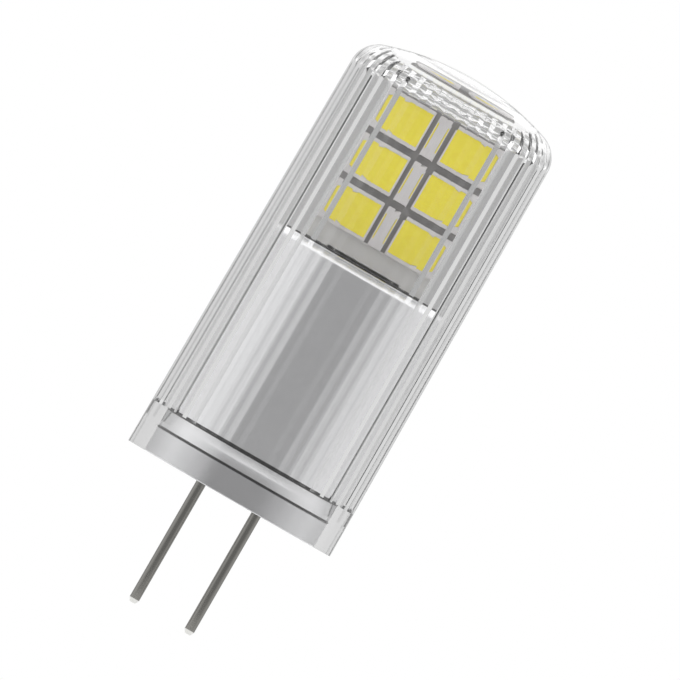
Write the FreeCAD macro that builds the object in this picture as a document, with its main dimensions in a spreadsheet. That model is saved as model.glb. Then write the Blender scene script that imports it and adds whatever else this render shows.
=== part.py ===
import FreeCAD, Part
import os
import re
import Sketcher

# Bi-pin lamp: a clear moulded jacket with a grooved bore, a silvery core sleeve that holds the
# driver, a light board with lamps on both sides, and a base cap with two contact pins.
# Lengths are millimetres. The origin is between the pins on the base's bottom face, +Z runs up
# the lamp's axis to the dome, and the pins stand on the X axis.

# Sizes that can be set by themselves
SIZES = (
    ("jacket_radius", 7.335, "outer radius of the jacket at its mouth"),
    ("jacket_draft", 0.215, "loss of outer radius from the mouth to the dome's edge"),
    ("jacket_wall", 1.835, "wall at the lower end of the grooved bore"),
    ("seat_wall", 1.055, "wall round the base cap"),
    ("bore_draft", 0.07, "loss of bore radius from the step to the ceiling's round"),
    ("dome_radius", 18.0, "radius of the shallow dome"),
    ("shoulder_fillet", 1.95, "round between the side and the dome"),
    ("ceiling_thickness", 1.1, "plastic between the ceiling and the dome's top"),
    ("ceiling_fillet", 2.0, "round between the bore and the ceiling"),
    ("headroom", 1.8, "air between the light board and the ceiling"),
    ("step_height", 1.21, "height of the seat's step, and of the sleeve's cone, above the ring groove"),
    ("relief_depth", 0.1, "depth of the ring groove above the base cap"),
    ("relief_height", 0.09, "height of that ring groove"),
    ("flute_count", 43, "grooves round the bore"),
    ("flute_depth", 0.055, "depth of one groove"),
    ("flute_land", 0.05, "plain strip between two grooves"),
    ("latch_width", 1.2, "width of a latch recess"),
    ("latch_height", 1.22, "height of a latch recess"),
    ("latch_rise", 0.27, "height of the recess above the ring groove"),
    ("latch_bite", 0.14, "depth of the recess behind the seat's radius"),
    ("latch_gap", 0.06, "clearance round the latch lug"),
    ("cap_thickness", 1.7, "thickness of the base cap"),
    ("cap_gap", 0.03, "clearance between base cap and seat"),
    ("spigot_height", 1.2, "height of the cap's locating ring"),
    ("spigot_wall", 0.8, "wall of the locating ring"),
    ("spigot_gap", 0.05, "clearance between locating ring and sleeve"),
    ("boss_radius", 0.9, "radius of the boss round a pin"),
    ("boss_height", 0.6, "height of that boss"),
    ("pin_spacing", 4.0, "distance between the pins"),
    ("pin_radius", 0.335, "radius of a pin"),
    ("pin_length", 8.73, "length of a pin below the base"),
    ("pin_lap", 2.5, "length of a pin's tail beside the driver board"),
    ("pin_gap", 0.015, "clearance of a pin's shank in the cap"),
    ("shank_step", 0.165, "extra radius of the pin's shank inside the cap"),
    ("tail_step", 0.035, "loss of radius of the pin's soldered tail"),
    ("tip_height", 0.28, "height of the pin's cone"),
    ("tip_radius", 0.215, "radius of the pin's flat end"),
    ("collar_radius", 0.7, "radius of the pin's collar"),
    ("collar_height", 0.3, "height of the pin's collar"),
    ("core_gap", 0.08, "clearance between sleeve and the bore's narrow end"),
    ("core_height", 13.77, "height of the sleeve above its cone"),
    ("core_wall", 0.7, "side wall of the sleeve"),
    ("core_lid", 0.8, "thickness of the sleeve's top"),
    ("rim_fillet", 0.75, "round on the sleeve's top rim"),
    ("slot_gap", 0.05, "clearance of the light board's tab in the sleeve's slot"),
    ("board_thickness", 0.8, "thickness of the light board"),
    ("board_foot", 1.43, "bare board below the lowest lamps"),
    ("board_margin", 0.13, "bare board above the highest lamps"),
    ("side_margin", 0.09, "bare board beside the lamps"),
    ("tab_width", 5.0, "width of the board's tab"),
    ("tab_length", 3.2, "length of the board's tab below the sleeve's top"),
    ("led_rows", 3, "rows of lamps on each side of the board"),
    ("row_gap", 0.47, "gap between two rows"),
    ("column_gap", 0.62, "gap between the two columns"),
    ("package_width", 3.5, "width of a lamp package"),
    ("package_height", 2.8, "height of a lamp package"),
    ("package_depth", 0.7, "thickness of a lamp package"),
    ("frame_side", 0.365, "package frame left and right of the phosphor"),
    ("frame_end", 0.225, "package frame above and below the phosphor"),
    ("window_depth", 0.45, "depth of the package's well"),
    ("window_corner", 0.3, "cut corner of the well"),
    ("polarity_cut", 0.35, "cut corner that marks the package's polarity"),
    ("well_gap", 0.01, "clearance of the phosphor in its well"),
    ("driver_thickness", 0.8, "thickness of the driver board"),
    ("driver_gap", 0.1, "clearance between driver board and sleeve"),
    ("driver_headroom", 0.3, "air above the driver board"),
    ("stack_gap", 0.4, "gap between the sense resistors, and below the solder joints"),
    ("centre_gap", 0.5, "distance of the front parts from the middle"),
    ("terminal_length", 0.5, "metal end of a chip part"),
    ("terminal_skin", 0.04, "height of the metal end above the ceramic"),
    ("foot_length", 0.45, "length of a soldered foot beside its package"),
    ("foot_width", 0.6, "width of a soldered foot"),
    ("foot_thickness", 0.2, "thickness of a soldered foot"),
    ("inductor_side", 3.0, "side of the inductor's square base"),
    ("inductor_depth", 1.5, "height of the inductor"),
    ("inductor_base", 0.4, "thickness of the inductor's base"),
    ("inductor_core", 1.3, "radius of the inductor's drum"),
    ("filter_width", 2.5, "width of the filter capacitor"),
    ("filter_height", 3.2, "height of the filter capacitor"),
    ("filter_depth", 1.6, "thickness of the filter capacitor"),
    ("chip_width", 2.1, "width of the driver chip"),
    ("chip_height", 4.0, "height of the driver chip"),
    ("chip_depth", 1.4, "thickness of the driver chip"),
    ("resistor_width", 1.6, "width of a sense resistor"),
    ("resistor_height", 0.8, "height of a sense resistor"),
    ("resistor_depth", 0.42, "thickness of a sense resistor"),
    ("diode_width", 1.9, "width of the freewheel diode"),
    ("diode_height", 1.3, "height of the freewheel diode"),
    ("diode_depth", 1.0, "thickness of the freewheel diode"),
    ("bridge_width", 3.9, "width of the bridge rectifier"),
    ("bridge_height", 4.0, "height of the bridge rectifier"),
    ("bridge_depth", 1.4, "thickness of the bridge rectifier"),
    ("bulk_width", 3.2, "width of a bulk capacitor"),
    ("bulk_height", 2.4, "height of a bulk capacitor"),
    ("bulk_depth", 1.6, "thickness of a bulk capacitor"),
    ("solder_width", 1.2, "width of a solder joint"),
    ("solder_height", 1.6, "height of a pin's solder joint"),
    ("solder_cover", 0.2, "solder in front of a pin"),
    ("solder_film", 0.01, "clearance between a solder joint and its pin"),
    ("tab_solder", 0.45, "leg of the fillet under the board's tab"),
    ("tab_solder_reach", 1.5, "distance of a tab's solder joint from the middle"),
)

# Lengths that follow from the sizes above
DERIVED = {
    "seat_radius": "jacket_radius - seat_wall",
    "bore_radius": "jacket_radius - jacket_wall",
    "bore_end": "bore_radius - bore_draft",
    "seat_top": "cap_thickness + relief_height",
    "cone_top": "seat_top + step_height",
    "core_top": "cone_top + core_height",
    "board_height": "board_foot + led_rows * package_height + (led_rows - 1) * row_gap + board_margin",
    "board_top": "core_top + board_height",
    "ceiling": "board_top + headroom",
    "jacket_top": "ceiling + ceiling_thickness",
    "dome_edge": "jacket_radius - jacket_draft",
    "dome_edge_height": "jacket_top - dome_radius + sqrt(dome_radius ^ 2 - dome_edge ^ 2)",
    "flute_bottom": "cone_top - 2 * flute_depth",
    "flute_top": "ceiling - ceiling_fillet",
    "bore_slope": "bore_draft / (flute_top - cone_top)",
    "latch_bottom": "seat_top + latch_rise",
    "latch_radius": "seat_radius + latch_bite",
    "core_radius": "bore_end - core_gap",
    "core_inside": "core_radius - core_wall",
    "core_foot": "core_radius + jacket_wall - seat_wall",
    "cap_radius": "seat_radius - cap_gap",
    "spigot_radius": "core_inside - spigot_gap",
    "spigot_top": "cap_thickness + spigot_height",
    "boss_top": "cap_thickness + boss_height",
    "collar_top": "boss_top + collar_height",
    "pin_top": "spigot_top + pin_lap",
    "shank_radius": "pin_radius + shank_step",
    "tail_radius": "pin_radius - tail_step",
    "board_half": "board_thickness / 2",
    "board_side": "column_gap / 2 + package_width + side_margin",
    "column_place": "column_gap / 2 + package_width / 2",
    "tab_bottom": "core_top - tab_length",
    "driver_back": "board_half + driver_thickness",
    "driver_side": "sqrt((core_inside - driver_gap) ^ 2 - driver_back ^ 2)",
    "driver_top": "core_top - core_lid - driver_headroom",
    "front_room": "tab_bottom - tab_solder - pin_top - inductor_side - filter_height",
    "front_stack": "pin_top + front_room / 3",
    "filter_bottom": "front_stack + inductor_side + front_room / 3",
    "back_room": "driver_top - spigot_top - diode_height - bridge_height - 2 * bulk_height",
    "diode_bottom": "spigot_top + back_room / 5",
    "bridge_bottom": "diode_bottom + diode_height + back_room / 5",
    "input_bottom": "bridge_bottom + bridge_height + back_room / 5",
    "output_bottom": "input_bottom + bulk_height + back_room / 5",
}

doc = FreeCAD.newDocument("bi_pin_lamp")
sheet = doc.addObject("Spreadsheet::Sheet", "Sizes")
for row, (alias, value, meaning) in enumerate(SIZES, 1):
    sheet.set("A%d" % row, alias)
    sheet.set("B%d" % row, str(value))
    sheet.set("C%d" % row, meaning)
    sheet.setAlias("B%d" % row, alias)
doc.recompute()

ALIASES = {alias for alias, value, meaning in SIZES}
sub_parts = []


def formula(text):
    """Write a length as an expression on the sheet, with derived lengths written out."""
    def written_out(match):
        word = match.group(0)
        if word in DERIVED:
            return "(" + formula(DERIVED[word]) + ")"
        return "Sizes." + word if word in ALIASES else word
    return re.sub(r"[a-z_]+", written_out, text)


def length(text):
    """Present value of a length."""
    return float(sheet.evalExpression(formula(text)))


def sub_part(node, name):
    """Keep an object as a sub-part of the lamp under the name of its file."""
    node.Label = name
    sub_parts.append(node)
    return node


def new_body(name):
    """Empty body for a sub-part."""
    return sub_part(doc.addObject("PartDesign::Body", name), name)


def origin_plane(body, role):
    """One of a body's own origin planes or axes."""
    return next(item for item in body.Origin.OriginFeatures if item.Role == role)


def place(node, x="0", y="0", z="0", rotation=None):
    """Turn an object, and bind its place to the sheet."""
    if rotation is not None:
        node.Placement = FreeCAD.Placement(FreeCAD.Vector(), rotation)
    for axis, text in zip("xyz", (x, y, z)):
        node.setExpression("Placement.Base." + axis, formula(text))


def new_sketch(body, name, plane, level="0"):
    """Sketch on a body's own plane, at a height above it."""
    sketch = body.newObject("Sketcher::SketchObject", name)
    sketch.AttachmentSupport = (origin_plane(body, plane), [""])
    sketch.MapMode = "FlatFace"
    if level != "0":
        sketch.setExpression("AttachmentOffset.Base.z", formula(level))
    return sketch


def hold(sketch, point, kind, text):
    """Bind a point's distance from the upright axis (-2) or the level axis (-1) of its sketch."""
    if text == "0":
        axis = -2 if kind == "DistanceX" else -1
        sketch.addConstraint(Sketcher.Constraint("PointOnObject", *point, axis))
    else:
        held = sketch.addConstraint(Sketcher.Constraint(kind, -1, 1, *point, length(text)))
        sketch.setExpression("Constraints[%d]" % held, formula(text))


def fix_point(sketch, point, x, y):
    """Hold a sketch's point at a bound place."""
    hold(sketch, point, "DistanceX", x)
    hold(sketch, point, "DistanceY", y)


def arc_between(start, end, centre_x):
    """Arc from start to end, turning to the left, with its centre at a known distance across."""
    across = (end.x - centre_x) ** 2 - (start.x - centre_x) ** 2
    centre_y = (across + end.y ** 2 - start.y ** 2) / (2 * (end.y - start.y))
    centre = FreeCAD.Vector(centre_x, centre_y, 0)
    circle = Part.Circle(centre, FreeCAD.Vector(0, 0, 1), end.distanceToPoint(centre))
    return Part.ArcOfCircle(circle, circle.parameter(start), circle.parameter(end))


def draw_outline(sketch, corners, arcs=None):
    """Closed outline through corners; arcs gives the centre's distance across for each round side."""
    arcs = arcs or {}
    points = [FreeCAD.Vector(length(x), length(y), 0) for x, y in corners]
    first = sketch.GeometryCount
    count = len(points)
    for number, start in enumerate(points):
        end = points[(number + 1) % count]
        if number in arcs:
            sketch.addGeometry(arc_between(start, end, length(arcs[number])), False)
        else:
            sketch.addGeometry(Part.LineSegment(start, end), False)
    for number in range(count):
        this, following = first + number, first + (number + 1) % count
        sketch.addConstraint(Sketcher.Constraint("Coincident", this, 2, following, 1))
        fix_point(sketch, (this, 1), *corners[number])
        if number in arcs:
            hold(sketch, (this, 3), "DistanceX", arcs[number])


def draw_box(sketch, left, right, low, high):
    """Upright rectangle between two bound sides and two bound heights."""
    draw_outline(sketch, ((left, low), (right, low), (right, high), (left, high)))


def draw_circle(sketch, x, y, radius):
    """Circle of a bound radius at a bound place."""
    centre = FreeCAD.Vector(length(x), length(y), 0)
    circle = sketch.addGeometry(Part.Circle(centre, FreeCAD.Vector(0, 0, 1), length(radius)), False)
    fix_point(sketch, (circle, 3), x, y)
    held = sketch.addConstraint(Sketcher.Constraint("Radius", circle, length(radius)))
    sketch.setExpression("Constraints[%d]" % held, formula(radius))


def turned(body, kind, name, corners, arcs=None):
    """Turned shape, added or cut, from an outline beside the upright axis."""
    sketch = new_sketch(body, name + "_outline", "XZ_Plane")
    draw_outline(sketch, corners, arcs)
    feature = body.newObject("PartDesign::" + kind, name)
    feature.Profile = (sketch, [""])
    feature.ReferenceAxis = (sketch, ["V_Axis"])
    feature.Angle = 360
    return feature


def padded(body, sketch, name, height, both_ways=False):
    """Pad of a bound height, upward or to both sides of its sketch."""
    pad = body.newObject("PartDesign::Pad", name)
    pad.Profile = (sketch, [""])
    pad.SideType = "Symmetric" if both_ways else "One side"
    pad.setExpression("Length", formula(height))
    return pad


def pocketed(body, sketch, name, depth, upward=False, both_ways=False):
    """Pocket of a bound depth, which has to take material away."""
    doc.recompute()
    before = body.Shape.Volume
    pocket = body.newObject("PartDesign::Pocket", name)
    pocket.Profile = (sketch, [""])
    pocket.SideType = "Symmetric" if both_ways else "One side"
    pocket.Reversed = upward
    pocket.setExpression("Length", formula(depth))
    doc.recompute()
    if body.Shape.Volume >= before:
        raise RuntimeError("%s cuts nothing" % name)
    return pocket


def rounded_rim(body, name, base, height, radius, size):
    """Fillet on the round edge at one height and radius."""
    doc.recompute()
    level, reach = length(height), length(radius)
    rims = []
    for number, edge in enumerate(base.Shape.Edges, 1):
        if not edge.Degenerated and isinstance(edge.Curve, Part.Circle):
            near = abs(edge.Curve.Radius - reach) + abs(edge.Curve.Center.z - level)
            if near < 1e-4:
                rims.append("Edge%d" % number)
    fillet = body.newObject("PartDesign::Fillet", name)
    fillet.Base = (base, rims)
    fillet.setExpression("Radius", formula(size))
    return fillet


# Jacket: drafted tube with a shallow dome, a seat for the cap, a step and a bore of fine V grooves
def make_jacket():
    body = new_body("jacket")
    outside = turned(body, "Revolution", "jacket_outside", (
        ("0", "0"),
        ("jacket_radius", "0"),
        ("dome_edge", "dome_edge_height"),
        ("0", "jacket_top"),
    ), arcs={2: "0"})
    rounded_rim(body, "shoulder", outside, "dome_edge_height", "dome_edge", "shoulder_fillet")
    turned(body, "Groove", "jacket_bore", (
        ("0", "0"),
        ("seat_radius", "0"),
        ("seat_radius", "cap_thickness"),
        ("seat_radius + relief_depth", "cap_thickness"),
        ("seat_radius + relief_depth", "seat_top"),
        ("seat_radius", "seat_top"),
        ("seat_radius", "cone_top"),
        ("bore_radius", "cone_top"),
        ("bore_end", "flute_top"),
        ("bore_end - ceiling_fillet", "ceiling"),
        ("0", "ceiling"),
    ), arcs={8: "bore_end - ceiling_fillet"})
    recess = new_sketch(body, "latch_recess_outline", "XZ_Plane")
    draw_box(recess, "-latch_radius", "latch_radius", "latch_bottom", "latch_bottom + latch_height")
    pocketed(body, recess, "latch_recess", "latch_width", both_ways=True)
    make_flutes(body)


def flute_section(body, name, level):
    """Section of one groove, with its sides carried on a little into the open bore."""
    wall = "(bore_radius - (%s - cone_top) * bore_slope)" % level
    valley = "(%s + flute_depth)" % wall
    half_turn = "(180 / flute_count - flute_land / (2 * %s) * 180 / pi)" % wall
    reach = "1.2"
    side = "%s * %s * sin(%s)" % (reach, wall, half_turn)
    inner = "-%s + %s * (%s - %s * cos(%s))" % (valley, reach, valley, wall, half_turn)
    sketch = new_sketch(body, name, "XY_Plane", level)
    draw_outline(sketch, (("0", "-" + valley), (side, inner), ("-" + side, inner)))
    return sketch


def make_flutes(body):
    """Cut the V grooves, which narrow with the bore from the step to the ceiling's round."""
    low = flute_section(body, "flute_low", "flute_bottom")
    high = flute_section(body, "flute_high", "flute_top")
    flute = body.newObject("PartDesign::SubtractiveLoft", "flute")
    flute.Profile = (low, [""])
    flute.Sections = [(high, [""])]
    flute.Ruled = True
    doc.recompute()
    ring = body.newObject("PartDesign::PolarPattern", "flutes")
    ring.Originals = [flute]
    ring.Axis = (origin_plane(body, "Z_Axis"), [""])
    ring.Angle = 360
    ring.setExpression("Occurrences", formula("flute_count"))
    body.Tip = ring


# Core sleeve: closed-top cup on a conical foot, slotted for the light board, with two latch lugs
def make_core_sleeve():
    body = new_body("core_sleeve")
    cup = turned(body, "Revolution", "sleeve_cup", (
        ("core_inside", "seat_top"),
        ("core_foot", "seat_top"),
        ("core_radius", "cone_top"),
        ("core_radius", "core_top"),
        ("0", "core_top"),
        ("0", "core_top - core_lid"),
        ("core_inside", "core_top - core_lid"),
    ))
    rounded_rim(body, "sleeve_rim", cup, "core_top", "core_radius", "rim_fillet")
    lugs = new_sketch(body, "lug_outline", "XZ_Plane")
    lug_low = "latch_bottom + latch_gap"
    lug_high = "latch_bottom + latch_height - latch_gap"
    lug_root = "core_inside + core_wall / 2"
    lug_tip = "latch_radius - latch_gap"
    draw_box(lugs, lug_root, lug_tip, lug_low, lug_high)
    draw_box(lugs, "-(%s)" % lug_tip, "-(%s)" % lug_root, lug_low, lug_high)
    padded(body, lugs, "lugs", "latch_width - 2 * latch_gap", both_ways=True)
    slot = new_sketch(body, "slot_outline", "XY_Plane", "core_top")
    half_width, half_depth = "(tab_width / 2 + slot_gap)", "(board_half + slot_gap)"
    draw_box(slot, "-" + half_width, half_width, "-" + half_depth, half_depth)
    pocketed(body, slot, "slot", "core_lid + driver_headroom")


# Base cap: disc with a locating ring and a bored boss for each pin
def make_base_cap():
    body = new_body("base_cap")
    disc = new_sketch(body, "disc_outline", "XY_Plane")
    draw_circle(disc, "0", "0", "cap_radius")
    padded(body, disc, "disc", "cap_thickness")
    ring = new_sketch(body, "ring_outline", "XY_Plane", "cap_thickness")
    draw_circle(ring, "0", "0", "spigot_radius")
    draw_circle(ring, "0", "0", "spigot_radius - spigot_wall")
    padded(body, ring, "locating_ring", "spigot_height")
    bosses = new_sketch(body, "boss_outline", "XY_Plane", "cap_thickness")
    holes = new_sketch(body, "hole_outline", "XY_Plane")
    for side in ("-", ""):
        draw_circle(bosses, side + "pin_spacing / 2", "0", "boss_radius")
        draw_circle(holes, side + "pin_spacing / 2", "0", "shank_radius + pin_gap")
    padded(body, bosses, "bosses", "boss_height")
    pocketed(body, holes, "pin_holes", "boss_top", upward=True)


# Contact pin: coned wire, a thick shank in the cap, a collar on its boss and a thin tail
def make_contact_pin(name, side):
    body = new_body(name)
    turned(body, "Revolution", name + "_wire", (
        ("0", "-pin_length"),
        ("tip_radius", "-pin_length"),
        ("pin_radius", "-pin_length + tip_height"),
        ("pin_radius", "0"),
        ("shank_radius", "0"),
        ("shank_radius", "boss_top"),
        ("collar_radius", "boss_top"),
        ("collar_radius", "collar_top"),
        ("tail_radius", "collar_top"),
        ("tail_radius", "pin_top"),
        ("0", "pin_top"),
    ))
    place(body, x=side + "pin_spacing / 2")


# Light board: plate that stands on the sleeve, with a tab through the slot to the driver
def make_led_board():
    body = new_body("led_board")
    outline = new_sketch(body, "board_outline", "XZ_Plane")
    draw_outline(outline, (
        ("-tab_width / 2", "tab_bottom"),
        ("tab_width / 2", "tab_bottom"),
        ("tab_width / 2", "core_top"),
        ("board_side", "core_top"),
        ("board_side", "board_top"),
        ("-board_side", "board_top"),
        ("-board_side", "core_top"),
        ("-tab_width / 2", "core_top"),
    ))
    padded(body, outline, "board_plate", "board_thickness", both_ways=True)


def draw_window(sketch, clearance):
    """Rectangle with cut corners: the outline of the package's well."""
    wide = "(package_width / 2 - frame_side - %s)" % clearance
    high = "(package_height / 2 - frame_end - %s)" % clearance
    wide_cut = "(%s - window_corner)" % wide
    high_cut = "(%s - window_corner)" % high
    draw_outline(sketch, (
        ("-" + wide_cut, "-" + high), (wide_cut, "-" + high),
        (wide, "-" + high_cut), (wide, high_cut),
        (wide_cut, high), ("-" + wide_cut, high),
        ("-" + wide, high_cut), ("-" + wide, "-" + high_cut),
    ))


# Lamp package and its phosphor: white frame with a polarity corner, and the filling of its well
def make_led(name, rotation, x, y, z):
    package = new_body(name + "_package")
    frame = new_sketch(package, "frame_outline", "XY_Plane")
    wide, high = "package_width / 2", "package_height / 2"
    draw_outline(frame, (
        ("-" + wide, "-" + high), (wide, "-" + high), (wide, high),
        ("-%s + polarity_cut" % wide, high), ("-" + wide, high + " - polarity_cut"),
    ))
    padded(package, frame, "frame", "package_depth")
    well = new_sketch(package, "well_outline", "XY_Plane", "package_depth")
    draw_window(well, "0")
    pocketed(package, well, "well", "window_depth")
    place(package, x, y, z, rotation)
    phosphor = new_body(name + "_phosphor")
    filling = new_sketch(phosphor, "filling_outline", "XY_Plane", "package_depth - window_depth")
    draw_window(filling, "well_gap")
    padded(phosphor, filling, "filling", "window_depth")
    place(phosphor, x, y, z, rotation)


def make_leds():
    """Two columns of lamps on each side of the board."""
    upright = FreeCAD.Rotation(FreeCAD.Vector(1, 0, 0), 90)
    about = FreeCAD.Rotation(FreeCAD.Vector(0, 0, 1), 180)
    faces = (("front", upright, "-board_half"), ("back", about.multiply(upright), "board_half"))
    for face, rotation, y in faces:
        for row in range(int(length("led_rows"))):
            z = "core_top + board_foot + package_height / 2 + %d * (package_height + row_gap)" % row
            for column, side in (("left", "-"), ("right", "")):
                name = "led_%s_%s_%d" % (face, column, row + 1)
                make_led(name, rotation, side + "column_place", y, z)


# Driver board: plate that stands on the cap's ring, against the back of the light board's tab
def make_driver_board():
    body = new_body("driver_board")
    outline = new_sketch(body, "driver_outline", "XZ_Plane")
    draw_box(outline, "-driver_side", "driver_side", "spigot_top", "driver_top")
    padded(body, outline, "driver_plate", "driver_thickness", both_ways=True)
    place(body, y="board_half + driver_thickness / 2")


def box(name, x, y, z, wide, deep, high):
    """Plain block: left side, near side and bottom, then its three lengths."""
    block = doc.addObject("Part::Box", name)
    for side, text in (("Length", wide), ("Width", deep), ("Height", high)):
        block.setExpression(side, formula(text))
    place(block, x, y, z)
    return block


def joined(name, pieces):
    """One solid of several that meet."""
    whole = doc.addObject("Part::MultiFuse", name)
    whole.Shapes = pieces
    return sub_part(whole, name)


def near_side(front, depth, lift="0"):
    """Lower y of a part on the driver board's front or back, raised off it by lift."""
    return "board_half - (%s) - (%s)" % (depth, lift) if front else "driver_back + (%s)" % lift


# Chip part: ceramic block between two metal ends, which stand a little proud of it
def make_chip_part(name, kind, front, x, z):
    wide, high, depth = kind + "_width", kind + "_height", kind + "_depth"
    ceramic = box(name + "_ceramic", x, near_side(front, depth + " - 2 * terminal_skin", "terminal_skin"),
                  z + " + terminal_skin", wide, depth + " - 2 * terminal_skin",
                  high + " - 2 * terminal_skin")
    pieces = [ceramic]
    for end, start in enumerate((x, "%s + %s - terminal_length" % (x, wide))):
        pieces.append(box("%s_end_%d" % (name, end + 1), start, near_side(front, depth), z,
                          "terminal_length", depth, high))
    joined(name, pieces)


# Footed part: moulded package with soldered feet along its two upright sides
def make_footed_part(name, kind, front, x, z, feet):
    wide, high, depth = kind + "_width", kind + "_height", kind + "_depth"
    pieces = [box(name + "_moulding", x, near_side(front, depth), z, wide, depth, high)]
    for number in range(feet):
        rise = "%s + (%s) * %s - foot_width / 2" % (z, high, (number + 0.5) / feet)
        for hand, start in (("left", x + " - foot_length"), ("right", "%s + %s" % (x, wide))):
            pieces.append(box("%s_foot_%s_%d" % (name, hand, number + 1), start,
                              near_side(front, "foot_thickness"), rise,
                              "foot_length", "foot_thickness", "foot_width"))
    joined(name, pieces)


# Inductor: square base with a round ferrite drum
def make_inductor():
    body = new_body("inductor")
    base = new_sketch(body, "inductor_base_outline", "XY_Plane")
    half = "inductor_side / 2"
    draw_box(base, "-" + half, half, "-" + half, half)
    padded(body, base, "inductor_plate", "inductor_base")
    drum = new_sketch(body, "inductor_drum_outline", "XY_Plane")
    draw_circle(drum, "0", "0", "inductor_core")
    padded(body, drum, "inductor_drum", "inductor_depth")
    upright = FreeCAD.Rotation(FreeCAD.Vector(1, 0, 0), 90)
    place(body, "-centre_gap - inductor_side / 2", "board_half", "front_stack + inductor_side / 2", upright)


def make_driver_parts():
    """Everything that is soldered to the driver board."""
    make_inductor()
    make_chip_part("filter_capacitor", "filter", True, "-centre_gap - filter_width", "filter_bottom")
    make_footed_part("driver_chip", "chip", True, "centre_gap + foot_length", "front_stack", 3)
    for number in range(2):
        z = "spigot_top + stack_gap + %d * (resistor_height + stack_gap)" % number
        make_chip_part("sense_resistor_%d" % (number + 1), "resistor", True, "-resistor_width / 2", z)
    make_footed_part("freewheel_diode", "diode", False, "-diode_width / 2", "diode_bottom", 1)
    make_footed_part("bridge_rectifier", "bridge", False, "-bridge_width / 2", "bridge_bottom", 2)
    make_chip_part("input_capacitor", "bulk", False, "-bulk_width / 2", "input_bottom")
    make_chip_part("output_capacitor", "bulk", False, "-bulk_width / 2", "output_bottom")


# Solder round a pin, flat against the driver board
def make_pin_solder(name, side):
    place_x = side + "pin_spacing / 2"
    bottom = "spigot_top + stack_gap"
    near = "-tail_radius - solder_cover"
    lump = box(name + "_lump", place_x + " - solder_width / 2", near, bottom,
               "solder_width", "board_half - (%s)" % near, "solder_height")
    wire = doc.addObject("Part::Cylinder", name + "_wire")
    wire.setExpression("Radius", formula("tail_radius + solder_film"))
    wire.setExpression("Height", formula("solder_height"))
    place(wire, place_x, "0", bottom)
    joint = doc.addObject("Part::Cut", name)
    joint.Base = lump
    joint.Tool = wire
    sub_part(joint, name)


# Solder fillet in the corner between the tab's lower edge and the driver board
def make_tab_solder(name, side):
    body = new_body(name)
    corner = new_sketch(body, name + "_corner", "YZ_Plane")
    draw_outline(corner, (
        ("board_half - tab_solder", "tab_bottom"),
        ("board_half", "tab_bottom - tab_solder"),
        ("board_half", "tab_bottom"),
    ))
    padded(body, corner, name + "_fillet", "solder_width", both_ways=True)
    place(body, x=side + "tab_solder_reach")


def make_lamp():
    """Build every sub-part in the order of assembly."""
    make_base_cap()
    make_core_sleeve()
    make_led_board()
    make_leds()
    make_driver_board()
    make_driver_parts()
    for hand, side in (("left", "-"), ("right", "")):
        make_contact_pin("contact_pin_" + hand, side)
        make_pin_solder("pin_solder_" + hand, side)
        make_tab_solder("tab_solder_" + hand, side)
    make_jacket()
    doc.recompute()


def write_steps():
    """Check every object and every sub-part, then write one file for each sub-part."""
    for item in doc.Objects:
        if "Invalid" in item.State or "Error" in item.State:
            raise RuntimeError("%s failed: %s" % (item.Label, item.State))
    for node in sub_parts:
        shape = node.Shape
        if shape.isNull() or not shape.isValid() or len(shape.Solids) != 1:
            raise RuntimeError("%s is not one valid solid" % node.Label)
    os.makedirs("parts", exist_ok=True)
    for node in sub_parts:
        node.Shape.exportStep(os.path.join("parts", node.Label + ".step"))
        print("%-28s %9.4f mm3" % (node.Label, node.Shape.Volume))


make_lamp()
write_steps()
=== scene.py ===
"""Dresses a clear bi-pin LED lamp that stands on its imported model.

The jacket, sleeve, base cap, pins, light board and its packages are modelled again
in full detail on the same sizes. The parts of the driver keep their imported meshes
and get finishes. Lengths are in millimetres where nothing else is said, and heights
count from the flat bottom of the base cap; a finished mesh is brought to metres.
"""

from __future__ import annotations

import logging
import math
from dataclasses import dataclass
from enum import Enum

import bmesh
import bpy
from bmesh.types import BMEdge, BMesh, BMFace, BMVert
from bpy.types import ID, Material, Mesh, Node, NodeSocket, NodeTree, Object
from mathutils import Matrix, Vector

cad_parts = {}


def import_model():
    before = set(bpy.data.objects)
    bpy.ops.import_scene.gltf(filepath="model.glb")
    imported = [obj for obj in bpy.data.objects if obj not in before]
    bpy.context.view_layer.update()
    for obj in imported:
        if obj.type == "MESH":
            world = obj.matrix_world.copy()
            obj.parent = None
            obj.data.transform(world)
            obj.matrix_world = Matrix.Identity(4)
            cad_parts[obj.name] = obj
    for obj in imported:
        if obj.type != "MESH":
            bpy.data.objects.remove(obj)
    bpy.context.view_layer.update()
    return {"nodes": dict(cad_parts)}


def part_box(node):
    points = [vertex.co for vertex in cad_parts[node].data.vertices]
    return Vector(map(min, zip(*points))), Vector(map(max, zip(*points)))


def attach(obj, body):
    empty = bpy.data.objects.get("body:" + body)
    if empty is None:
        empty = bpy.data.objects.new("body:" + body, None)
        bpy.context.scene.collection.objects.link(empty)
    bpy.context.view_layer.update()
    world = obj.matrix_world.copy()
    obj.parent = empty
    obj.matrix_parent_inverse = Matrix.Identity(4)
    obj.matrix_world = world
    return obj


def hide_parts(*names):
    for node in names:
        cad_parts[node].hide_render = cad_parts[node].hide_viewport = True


MM = 0.001
WELD = 1e-5
SLACK = 1e-4
NOISE_MIDDLE = (0.3, 0.7)
BODY = "root"
LOG = logging.getLogger("lamp")

Colour = tuple[float, float, float]
Point = tuple[float, float, float]
Pair = tuple[float, float]
Level = tuple[float, float, float, float]
Profile = list[Pair]
Socket = NodeSocket
Value = float | NodeSocket


class Side(Enum):
    """The two faces of the light board, by the turn about the lamp's axis."""

    FRONT = 0.0
    BACK = math.pi


class Hand(Enum):
    """Left or right of the lamp's axis."""

    LEFT = -1
    RIGHT = 1


class Work(Enum):
    """What a tool mesh does to the mesh that it meets."""

    ADD = "UNION"
    CUT = "DIFFERENCE"


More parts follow.
